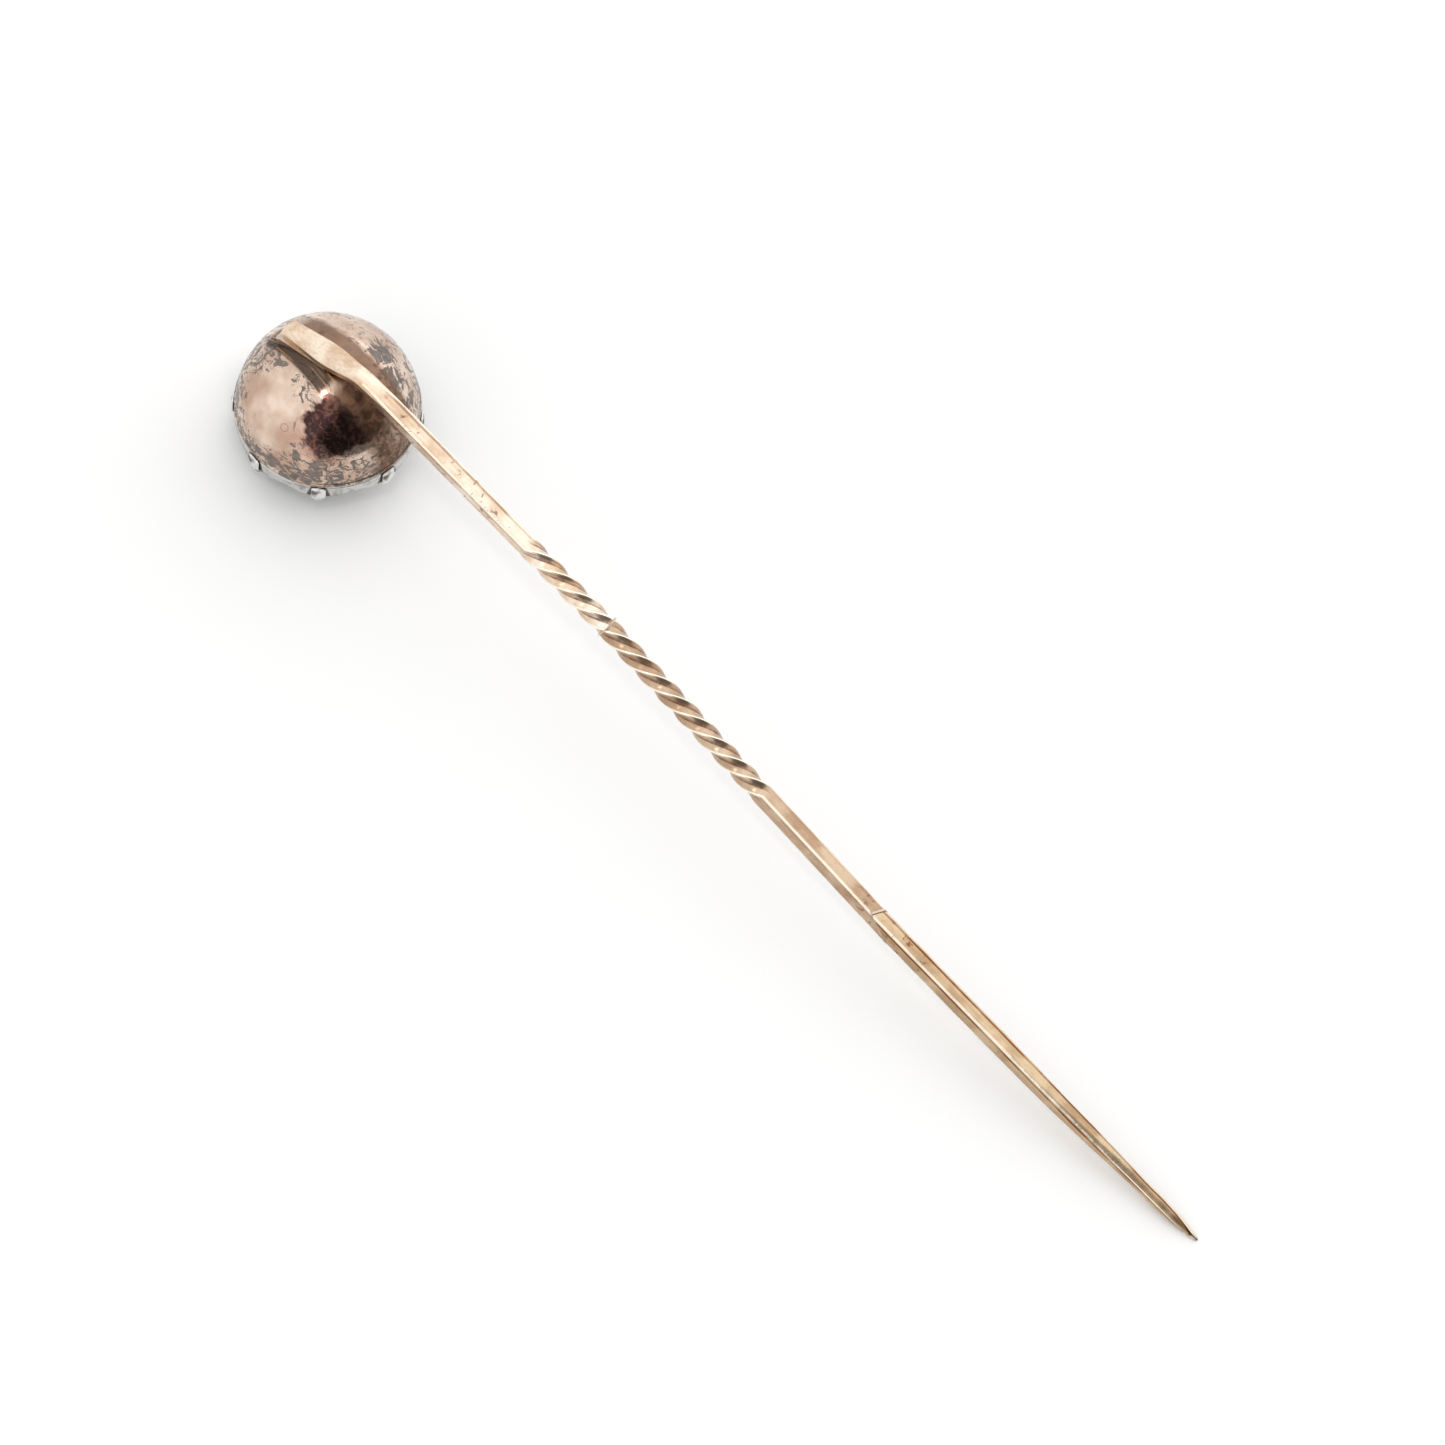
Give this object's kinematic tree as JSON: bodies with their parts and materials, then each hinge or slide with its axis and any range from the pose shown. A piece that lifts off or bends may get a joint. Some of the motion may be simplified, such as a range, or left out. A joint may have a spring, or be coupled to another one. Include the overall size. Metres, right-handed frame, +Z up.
{
  "type": "hat pin",
  "caption": "Short hat pin or stick pin: a claw-set faceted stone with a domed gold back, on a square wire pin, twisted at mid-length and filed to a round point.",
  "frame": {"origin": "the point on the table under the middle of the pin's box seen from above, the pin lying back upwards", "axes": "+Z up from the table, +X along the pin from the head to the point, +Y to the left of that"},
  "size_m": [0.066, 0.0098, 0.0087],
  "materials": {
    "rose_gold": "polished rose gold, tarnished in patches",
    "wire_gold": "worn low-carat gold wire",
    "yellow_gold": "filed yellow gold wire",
    "gold_solder": "dull solder",
    "silver": "tarnished silver",
    "silver_solder": "dull solder",
    "paste": "faceted colourless paste",
    "foil": "bright foil"
  },
  "bodies": {
    "root": {"back_dome": "rose_gold", "rim_solder": "silver_solder", "collet": "silver", "bearer": "silver", "stone": "paste", "foil": "foil", "pin_strap": "wire_gold", "strap_solder": "gold_solder", "pin_middle": "wire_gold", "twist_solder": "gold_solder", "scarf_solder": "gold_solder", "pin_point": "yellow_gold", "claw_1": "silver", "claw_2": "silver", "claw_3": "silver", "claw_4": "silver", "claw_5": "silver", "claw_6": "silver", "claw_7": "silver", "claw_8": "silver"}
  },
  "joints": []
}
